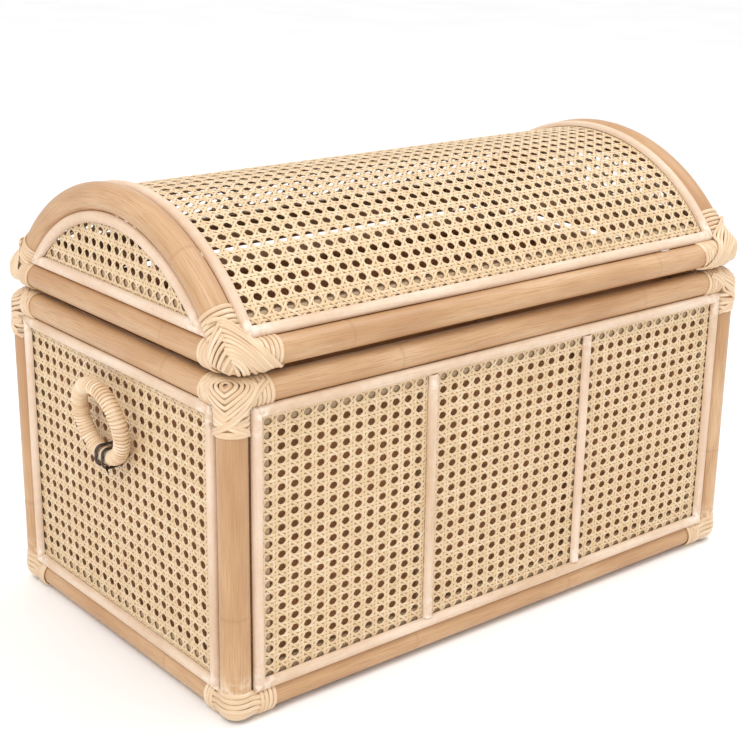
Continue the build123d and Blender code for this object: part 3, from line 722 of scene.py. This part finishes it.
for wall, side in (("left", -1), ("right", 1)):
    node = f"cane_lunette_{wall}"
    low, high = boxMm(node)
    radius = high[2] - archCentreZ - 0.5

    def underArch(u, v):
        return (u**2 + (v + vaultEdgeZ - archCentreZ) ** 2 < radius**2) & (v > 0.2)

    place = flatPlace(((low[0] + high[0]) / 2, 0, vaultEdgeZ), (0, side, 0), (0, 0, 1), (side, 0, 0))
    strands = weave(place, (-radius, 0.3), (radius, high[2] - vaultEdgeZ), meshes["lunette"]["pitch"],
                    meshes["lunette"]["first"], underArch)
    makePiece(node, "weave", strands, caneMaterial, sharp=180)
print("cane woven")


binding = {"width": 3.9, "thickness": 1.55, "rest": 0.3, "step": 1.6,
           "topMelt": 5.0, "footMelt": 7.0, "lidMelt": 7.0, "loopWidth": 3.5, "bandWidth": 4.5,
           "chevronWidth": 3.3}


def smoothJoin(distances, melt):
    # Joins the surfaces that the distances belong to, rounding the valleys over about melt.
    joined = distances[0]
    for d in distances[1:]:
        share = np.clip(0.5 + 0.5 * (d - joined) / melt, 0, 1)
        joined = d * (1 - share) + joined * share - melt * share * (1 - share)
    return joined


def rod(points, start, end, radius):
    start, end = np.array(start, float), np.array(end, float)
    along = end - start
    share = np.clip(((points - start) @ along) / (along @ along), 0, 1)
    return np.linalg.norm(points - start - share[:, None] * along, axis=1) - radius


def slopeOf(points, field):
    steps = [np.array(a, float) for a in ((0.05, 0, 0), (0, 0.05, 0), (0, 0, 0.05))]
    return unit(np.stack([field(points + s) - field(points - s) for s in steps], axis=-1))


def settle(points, field, height):
    for _ in range(7):
        points = points - (field(points) - height)[:, None] * slopeOf(points, field)
    return points


def strandOn(points, field, height, closed=False, width=None, settled=True):
    points = settle(points, field, height) if settled else points
    section = peelSection(width or binding["width"], binding["thickness"])
    up = slopeOf(points, field)
    return sweep(points + up * rng.uniform(-0.1, 0.1), up, section, closed=closed)


def ringOn(centre, axis, radius, lean, leanAxis):
    # One turn round a pole, leaning a little from square.
    axis = unit(axis)
    leaning = Matrix.Rotation(math.radians(lean + rng.uniform(-1.5, 1.5)), 3, Vector(leanAxis))
    axis = np.array(leaning @ Vector(axis))
    side = unit(np.cross(axis, (0.31, 0.52, 0.79)))
    other = np.cross(axis, side)
    turn = np.linspace(0, 2 * math.pi, 40, endpoint=False)[:, None]
    points = np.array(centre, float) + radius * (np.cos(turn) * side + np.sin(turn) * other)
    outward = unit(points - np.array(centre, float))
    return sweep(points, outward, peelSection(binding["width"], binding["thickness"]), closed=True)


def wrapPoles(joint, proud, *runs):
    # Turns round straight poles, each run (axis, lean axis, count, first turn's distance, lean).
    turns = []
    for i in range(max(run[2] for run in runs)):
        for axis, leanAxis, count, first, lean in runs:
            if i < count:
                place = joint + np.multiply(axis, first + wrapStep * i)
                turns.append(ringOn(place, axis, proud, lean, leanAxis))
    return turns


def castOn(flat, joint, field, height, closed=False):
    # Lays a line onto the surface, drawn as the corner shows from outside: (across, up) from the joint.
    across = unit(np.cross((0, 0, 1), drawnFrom))
    upward = np.cross(drawnFrom, across)
    flat = lineThrough(flat, binding["step"], closed)
    points = np.array(joint) + flat[:, :1] * across + flat[:, 1:] * upward + drawnFrom * 60
    for _ in range(60):
        points = points - drawnFrom * np.clip(field(points) - height, -2, 6)[:, None]
    return points


def goOn(points, field, height, length):
    # Carries a line on over the surface in its own direction, as a taut strand goes.
    point, ahead = points[-1:], unit(points[-1:] - points[-2:-1])
    out = []
    for _ in range(int(length / binding["step"])):
        moved = settle(point + ahead * binding["step"], field, height)
        ahead, point = unit(moved - point), moved
        out.append(moved)
    return np.vstack([points] + out)


def taut(points, field, height, rounds=18):
    # Pulls a strand straight between its ends wherever the surface lets it.
    for _ in range(rounds):
        points[1:-1] = (points[:-2] + 2 * points[1:-1] + points[2:]) / 4
        deep = np.minimum(field(points) - height, 0)
        points = points - deep[:, None] * slopeOf(points, field)
    return points


def clampZ(strand, low=-1e9, high=1e9):
    strand[0][:, 2] = np.clip(strand[0][:, 2], low, high)
    return strand


def ball(centre, radius):
    # The rounded end that the strands lie on.
    turn = np.linspace(0.12, math.pi - 0.12, 15)
    points = np.array(centre) + np.column_stack([0 * turn, 0 * turn, -radius * np.cos(turn)])
    return sweep(points, (0, 1, 0), roundSection(radius, 28), scale=np.sin(turn))


def railRods(points, joint, start, radius):
    # The two rails that run away from a joint, begun a little way off it.
    return [rod(points, joint + np.multiply(axis, start), joint + np.multiply(axis, 80), radius)
            for axis in (xAxis, yAxis)]


cornerX, cornerY = -postX, -postY
xAxis, yAxis, zAxis = (1, 0, 0), (0, 1, 0), (0, 0, 1)
drawnFrom = unit((-0.602, -0.733, 0.316))  # the side that the strands' courses are laid out from
wrapStep = 4.3
snug, footSnug = 0.1, 0.7  # how far a wrap's underside stands off its pole
# body corner loops, inside out: how far each reaches left, right, up and down from the loops' middle
loops = [(3.5, 3.6, 3.0, 3.4), (7.6, 8.2, 4.6, 7.7), (11.4, 12.6, 5.5, 12.3), (14.6, 16.4, 6.0, 17.0),
         (17.2, 19.8, 6.3, 21.6), (19.4, 22.8, 6.5, 26.0)]
# one side of a loop: shares of its reach sideways, upwards and downwards
loopShape = [(0, 1.0, 0), (0.6, 0.86, 0), (1.0, 0.25, 0), (0.93, 0, 0.24), (0.54, 0, 0.62), (0.14, 0, 0.93)]


# Body's top corner: nested loops with arms beside them, wraps on each rail and round the post
def topBinding():
    joint = np.array([cornerX, cornerY, sizes["topZ"]])

    def field(p):
        return smoothJoin([
            rod(p, joint - (0, 0, 60), joint - (0, 0, 3.5), postRadius - 0.3),
            *railRods(p, joint, 9, railRadius - 0.3),
        ], binding["topMelt"])

    strands = wrapPoles(joint, railRadius + snug, (xAxis, yAxis, 5, 14.4, -7))
    strands += wrapPoles(joint, railRadius + snug, (yAxis, xAxis, 4, 14.4, 7))
    for i in range(5):
        strands.append(ringOn(joint - (0, 0, 13.5 + wrapStep * i), zAxis, postRadius + snug,
                              5 if i % 2 else -5, (1, -1, 0)))
    strands.append(ball(joint + (0, 0, -2.6), postRadius - 0.3))
    centre = np.array([-3.9, 7.4])
    for left, right, high, deep in loops:
        half = [np.array([a * right, b * high - d * deep]) for a, b, d in loopShape]
        mirror = [np.array([-x * left / right, y]) for x, y in half[:0:-1]]
        flat = [centre + p for p in half + [np.array([0.0, -deep])] + mirror]
        loop = castOn(flat, joint, field, binding["rest"] + 0.5, closed=True)
        strands.append(strandOn(loop, field, binding["rest"] + 0.5, True, binding["loopWidth"]))
    leftArms = [[(-20.5, 12.5), (-20.8, 6), (-17.8, -5), (-9.5, -16.5), (0, -22.5), (9, -26)],
                [(-24, 9.5), (-22, 0), (-16.5, -12), (-8, -21), (3, -27), (11, -29.5)]]
    rightArms = [[(28, 12), (24.5, 7), (19.5, -1), (11, -13.5), (0, -23.5), (-12.5, -29)],
                 [(24.5, 13), (20.5, 7), (15.8, -3), (7, -14.5), (-3.5, -23), (-14.5, -27.5)]]
    for arms, lift in ((leftArms, 0.6), (rightArms, 1.1)):
        for flat in arms:
            height = binding["rest"] + lift
            line = goOn(castOn(flat, joint, field, height), field, height, 10)
            strands.append(strandOn(line, field, height, width=binding["loopWidth"]))
    return [clampZ(s, high=sizes["splitLow"] - 0.05) for s in strands]


# Foot: bands stacked round the corner, their ends tucked under the wraps on the rails
def footBinding():
    joint = np.array([cornerX, cornerY, sizes["bottomZ"]])

    def field(p):
        return smoothJoin([
            rod(p, joint + (0, 0, 3), joint + (0, 0, 70), postRadius - 0.9),
            *railRods(p, joint, 12, railRadius - 0.6),
            rod(p, joint - (0, 0, 0.6), joint + (0, 0, 1), 10.4),
        ], binding["footMelt"])

    strands = wrapPoles(joint, railRadius + footSnug, (xAxis, yAxis, 4, 18.0, 5),
                        (yAxis, xAxis, 3, 18.5, -5))
    strands.append(ball(joint + (0, 0, 0.2), railRadius - 0.9))
    diagonal = unit((-1, -1, 0))
    for k in range(7):
        turn = math.radians(-88 + 24 * k)
        cornerRise = -13.4 + 4.8 * k
        out, rise = 13 * math.cos(turn), 13 * math.sin(turn)
        path = [joint + (-out * 0.8, 24, rise * 0.8), joint + (-out, 17, rise),
                joint + (-14 + 0.3 * k, 8, (rise + cornerRise) / 2),
                joint + diagonal * 15 + (0, 0, cornerRise - 1.2),
                joint + (8, -14 + 0.3 * k, (rise + cornerRise) / 2), joint + (17, -out, rise),
                joint + (24, -out * 0.8, rise * 0.8)]
        strands.append(strandOn(lineThrough(path, binding["step"]), field, binding["rest"],
                                width=binding["bandWidth"]))
    return [clampZ(s, low=0.02) for s in strands]


# Lid corner: folded chevrons over the round corner, wraps on both rails and on the arch's foot
def lidBinding():
    z = sizes["lidZ"]
    joint = np.array([cornerX, cornerY, z])
    archX = -sizes["archX"]

    footTurn = math.acos((z - archCentreZ) / archRadius)
    archRun = [archPoint(np.array([along / archRadius - footTurn]), archX)[0] for along in (11, 34, 74)]

    def field(p):
        return smoothJoin([
            rod(p, joint, joint + (0, 0, 4), railRadius - 0.8),
            *railRods(p, joint, 13, railRadius + 0.6),
            rod(p, archRun[0], archRun[1], postRadius + 0.4),
            rod(p, archRun[1], archRun[2], postRadius + 0.4),
        ], binding["lidMelt"])

    strands = wrapPoles(joint, railRadius + snug, (xAxis, yAxis, 7, 14.5, 6), (yAxis, xAxis, 4, 14.0, -6))
    strands.append(ball(joint, railRadius - 0.4))
    for i in range(6):
        angle = -(footTurn - (16 + wrapStep * i) / archRadius)
        centre = archPoint(np.array([angle]), archX)[0]
        axis = (0, math.cos(angle), -math.sin(angle))
        strands.append(ringOn(centre, axis, postRadius + snug, 8, zAxis))
    ridge = lineThrough([(-9.1, 31), (-5.7, 20.3), (-1.8, 8), (3.2, -0.4), (6.8, -9)], 0.5)
    rightEnds = lineThrough([(37, -3.6), (31.8, -4.9), (23.9, -8.3), (16.1, -11.1), (9.4, -13.3)], 0.5)
    leftEnds = lineThrough([(-17.2, 6), (-14.7, -2.7), (-11.3, -4.6), (-4, -8.9), (3.2, -12.8)], 0.5)

    def pick(line, share):
        at = min(share, 1) * (len(line) - 1)
        i = min(int(at), len(line) - 2)
        return line[i] + (line[i + 1] - line[i]) * (at - i)

    def wind(flat, lift, tucked):
        # tucked: how far the first end dives under its neighbour
        height = binding["rest"] + lift
        line = taut(goOn(castOn(flat, joint, field, height), field, height, 8), field, height)
        up = slopeOf(line, field)
        count = np.arange(len(line))
        dive = np.clip(1 - count / 3, 0, 1) * tucked + np.clip(1 - count[::-1] / 5, 0, 1) * 3.2
        strands.append(strandOn(line - up * dive[:, None], field, 0, False, binding["chevronWidth"], False))

    # uprights on the left of the ridge, then the slanting side over their ends
    for i in range(8):
        share = i / 7
        top, foot = pick(ridge, share * 0.93 + 0.02), pick(leftEnds, share * 0.98)
        wind([top + (1.4, 0.9), top * 0.5 + foot * 0.5 + (-0.5, 0.3), foot], 0.5, 1.0)
    for i in reversed(range(12)):
        share = i / 11
        fold, end = pick(ridge, share * 0.97 + 0.01), pick(rightEnds, share)
        bulge = (fold + end) / 2 + np.array([0.75, 0.65]) * (2.4 + 2.2 * share) * (1 - 0.5 * share)
        wind([fold + (-1.6, 0.3), fold + (1.4, -0.4), bulge, end], 0.95 + 0.03 * (12 - i), 1.6)
    wind([(-18.5, 28.5), (-13, 32.0), (-4, 30.8), (9, 21.8), (22.5, 10.8), (31.5, 2.5), (38, -4)], 1.5, 0.8)
    return [clampZ(s, low=sizes["splitHigh"] + 0.02) for s in strands]


for kind, make in (("binding_top", topBinding), ("binding_foot", footBinding), ("binding_lid", lidBinding)):
    for name, (turnX, turnY) in corners.items():
        strands = [mirrored(s, turnX, turnY) for s in make()]
        makePiece(f"{kind}_{name}", "peel", strands, peelMaterial)
print("bindings wound")


ring = {"turns": 66, "coreRadius": 6.2, "peel": 2.95, "peelThickness": 1.3, "radius": 34.0, "lean": 10.0}
lace = {"width": 4.2, "thickness": 1.6, "corner": 7.0}
for wall, side in (("left", -1), ("right", 1)):
    node = f"handle_ring_{wall}"
    low, high = boxMm(node)
    centre = (low + high) / 2
    lean = math.radians(ring["lean"])
    tilted = np.array([side * math.sin(lean), 0, math.cos(lean)])
    sideways = np.array([0, 1.0, 0])
    normal = np.cross(sideways, tilted)

    def outFrom(turn):
        return np.cos(turn)[:, None] * sideways + np.sin(turn)[:, None] * tilted

    coreTurn = np.linspace(0, 2 * math.pi, 120, endpoint=False)
    core = sweep(centre + ring["radius"] * outFrom(coreTurn), normal, roundSection(ring["coreRadius"], 16),
                 True)
    turn = np.linspace(0, 2 * math.pi, ring["turns"] * 22, endpoint=False)
    winding = turn * ring["turns"]
    outward = np.cos(winding)[:, None] * outFrom(turn) + np.sin(winding)[:, None] * normal
    swell = 1 + 0.012 * np.sin(turn * 7 + side)
    line = centre + ring["radius"] * outFrom(turn) + outward * (ring["coreRadius"] * swell)[:, None]
    winds = sweep(line, outward, peelSection(ring["peel"], ring["peelThickness"]), closed=True)
    makePiece(node, "wound", [core, winds], wrapMaterial, sharp=70)

    node = f"handle_lashing_{wall}"
    low, high = boxMm(node)
    halfWide = (high[0] - low[0]) / 2 - lace["thickness"]
    halfTall = (high[2] - low[2]) / 2 - lace["thickness"]
    mid = (low + high) / 2
    offsetY = high[1] - lace["width"] / 2
    corner = lace["corner"] - lace["thickness"]
    arcs = []
    for quarter, (sx, sz) in enumerate(((1, 1), (-1, 1), (-1, -1), (1, -1))):
        for a in np.linspace(0, 90, 7):
            turn = math.radians(a + 90 * quarter)
            arcs.append((sx * (halfWide - corner) + corner * math.cos(turn),
                         sz * (halfTall - corner) + corner * math.sin(turn)))
    arcs = np.array(arcs)
    laces = []
    for y in (-offsetY, offsetY):
        lineX, lineZ = arcs[:, 0], arcs[:, 1]
        points = np.column_stack([mid[0] + lineX, np.full(len(arcs), y) + 0.05 * lineX, mid[2] + lineZ])
        outward = unit(np.column_stack([lineX, np.zeros(len(arcs)), lineZ]))
        laces.append(sweep(points, outward, peelSection(lace["width"], lace["thickness"]), closed=True))
    tip = mid + (side * halfWide * 0.55, -offsetY, -halfTall + 0.3)
    tipSteps = [(-side * 2, 1, 0.3), (0, 0, 0), (side * 2.0, -3.5, -1.4), (side * 2.8, -8, -1.6)]
    tipPath = lineThrough([tip + step for step in tipSteps], 1.0)
    laces.append(sweep(tipPath, (side * 0.5, 0, -0.86), peelSection(lace["width"] * 0.8, 0.9),
                       taper=np.linspace(1, 0.35, len(tipPath))))
    makePiece(node, "lace", laces, laceMaterial)
print("handles made")


finishes = {"battens": (battenMaterial, "batten"), "lining": (clothMaterial, "lining"),
            "base_board": (boardMaterial, "board"), "hinge_body_leaf": (brassMaterial, "hinge_brass"),
            "hinge_lid_leaf": (brassMaterial, "hinge_brass"),
            "hinge_screws": (screwMaterial, "screw_brass"), "hinge_pins": (steelMaterial, "pin_steel")}
for node, shape in frame["nodes"].items():
    for start, (material, slot) in finishes.items():
        if node.startswith(start):
            shape.data.materials.clear()
            shape.data.materials.append(material)


studio = {"floorSize": 12.0, "key": 30.0, "fill": 24.0, "world": 1.0}


def floorMaterial():
    # Seamless paper backdrop: matt, with a barely visible mottling.
    material, tree, shader = startMaterial("backdrop paper, matt", Roughness=0.9)
    place = addNode(tree, "NewGeometry").outputs["Position"]
    noise = addNode(tree, "TexNoise", {"Vector": place}, {"Scale": 3.0, "Detail": 2.0})
    colour = addNode(tree, ramp, {"Fac": noise.outputs["Fac"]},
                     stops=[(0.3, "#FAFAFA"), (0.7, "#FEFEFE")]).outputs["Color"]
    tree.links.new(colour, shader.inputs["Base Color"])
    return material


half = studio["floorSize"] / 2
floorMesh = bpy.data.meshes.new("floor")
floorMesh.from_pydata([(-half, -half, 0), (half, -half, 0), (half, half, 0), (-half, half, 0)], [],
                      [(0, 1, 2, 3)])
floorMesh.materials.append(floorMaterial())
floor = bpy.data.objects.new("floor", floorMesh)
bpy.context.scene.collection.objects.link(floor)

world = bpy.data.worlds.new("studio")
world.use_nodes = True
world.node_tree.nodes["Background"].inputs["Color"].default_value = toLinear("#FFFFFF")
world.node_tree.nodes["Background"].inputs["Strength"].default_value = studio["world"]
bpy.context.scene.world = world
bpy.context.scene.view_settings.view_transform = "Standard"


def areaLight(name, place, target, size, power):
    light = bpy.data.lights.new(name, "AREA")
    light.shape, light.size, light.energy = "DISK", size, power
    lamp = bpy.data.objects.new(name, light)
    lamp.location = place
    lamp.rotation_mode = "QUATERNION"
    lamp.rotation_quaternion = (Vector(place) - Vector(target)).to_track_quat("Z", "Y")
    bpy.context.scene.collection.objects.link(lamp)


areaLight("key", (-1.9, -1.1, 2.6), (0, 0, 0.2), 1.4, studio["key"])
areaLight("fill", (1.2, -0.4, 2.8), (0, 0, 0.3), 1.6, studio["fill"])

# the camera's place in metres, its turns in degrees, its lens and sensor in millimetres
camera = {"place": (-0.9322, -1.1140, 0.6872), "azimuth": -39.38, "elevation": 18.43, "roll": 0.83,
          "lens": 74.3, "sensor": 36.0}
a, e, r = (math.radians(camera[k]) for k in ("azimuth", "elevation", "roll"))
backward = Vector((math.sin(a) * math.cos(e), -math.cos(a) * math.cos(e), math.sin(e)))
across = Vector((0, 0, 1)).cross(backward).normalized()
upward = backward.cross(across)
rolledAcross = math.cos(r) * across + math.sin(r) * upward
rolledUp = -math.sin(r) * across + math.cos(r) * upward
lensData = bpy.data.cameras.new("view")
lensData.lens, lensData.sensor_width = camera["lens"], camera["sensor"]
lensData.clip_start, lensData.clip_end = 0.05, 50
eye = bpy.data.objects.new("view", lensData)
eye.rotation_mode = "QUATERNION"
eye.rotation_quaternion = Matrix((rolledAcross, rolledUp, backward)).transposed().to_quaternion()
eye.location = camera["place"]
bpy.context.scene.collection.objects.link(eye)
bpy.context.scene.camera = eye
print("studio set")
